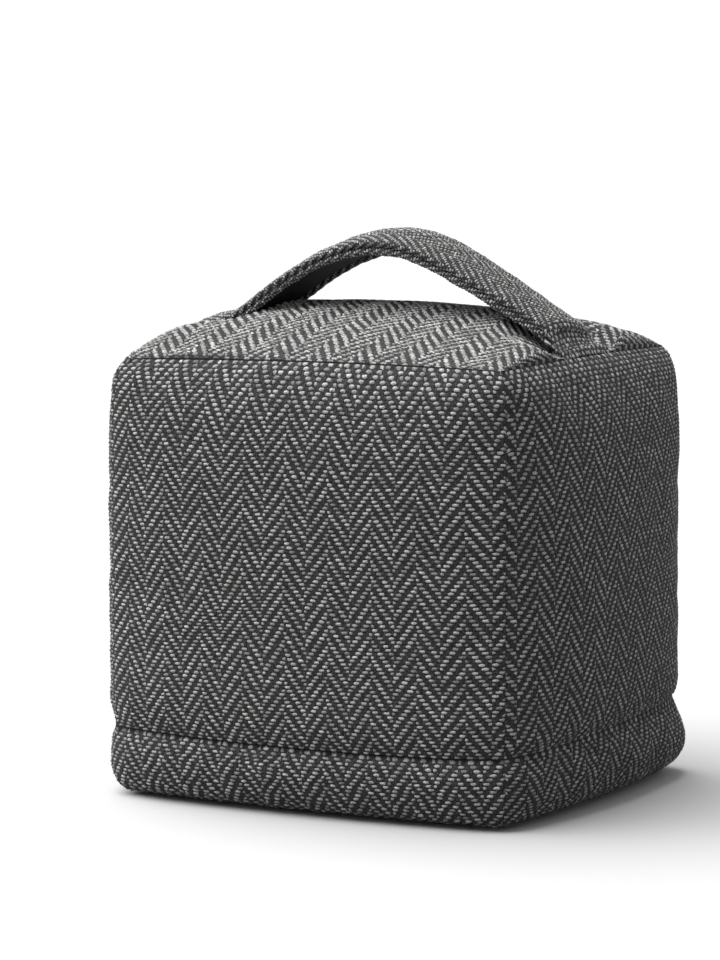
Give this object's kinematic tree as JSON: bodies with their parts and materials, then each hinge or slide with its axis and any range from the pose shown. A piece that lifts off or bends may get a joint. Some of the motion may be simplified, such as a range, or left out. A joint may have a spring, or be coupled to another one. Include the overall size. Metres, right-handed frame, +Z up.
{
  "type": "weighted fabric door stop",
  "caption": "Cube-shaped cloth door stop in herringbone weave, with a strap handle on top and a weight bag in a soft filling inside.",
  "frame": {"origin": "middle of the underside, on the floor", "axes": "+Z up; the front faces -Y; the handle runs along X"},
  "size_m": [0.1532, 0.1382, 0.1675],
  "materials": {
    "top_cloth": "coarse herringbone of light and dark grey yarn",
    "front_cloth": "coarse herringbone of light and dark grey yarn",
    "right_cloth": "coarse herringbone of light and dark grey yarn",
    "back_cloth": "coarse herringbone of light and dark grey yarn",
    "left_cloth": "coarse herringbone of light and dark grey yarn",
    "band_cloth": "coarse herringbone of light and dark grey yarn",
    "base_cloth": "coarse herringbone of light and dark grey yarn",
    "handle_cloth": "folded herringbone strip with rolled edges",
    "handle_tape": "smooth black woven tape",
    "closure": "black hook and loop strip",
    "fibre": "matt white fibre filling",
    "bag_film": "matt film, sealed"
  },
  "bodies": {
    "root": {"top_panel": "top_cloth", "front_panel": "front_cloth", "right_panel": "right_cloth", "back_panel": "back_cloth", "left_panel": "left_cloth", "band_front": "band_cloth", "band_right": "band_cloth", "band_back": "band_cloth", "band_left": "band_cloth", "base_front_flap": "base_cloth", "base_back_flap": "base_cloth", "loop_strip": "closure", "hook_strip": "closure", "handle_strap": "handle_cloth", "handle_lining": "handle_tape", "filling": "fibre", "weight_bag": "bag_film"}
  },
  "joints": []
}
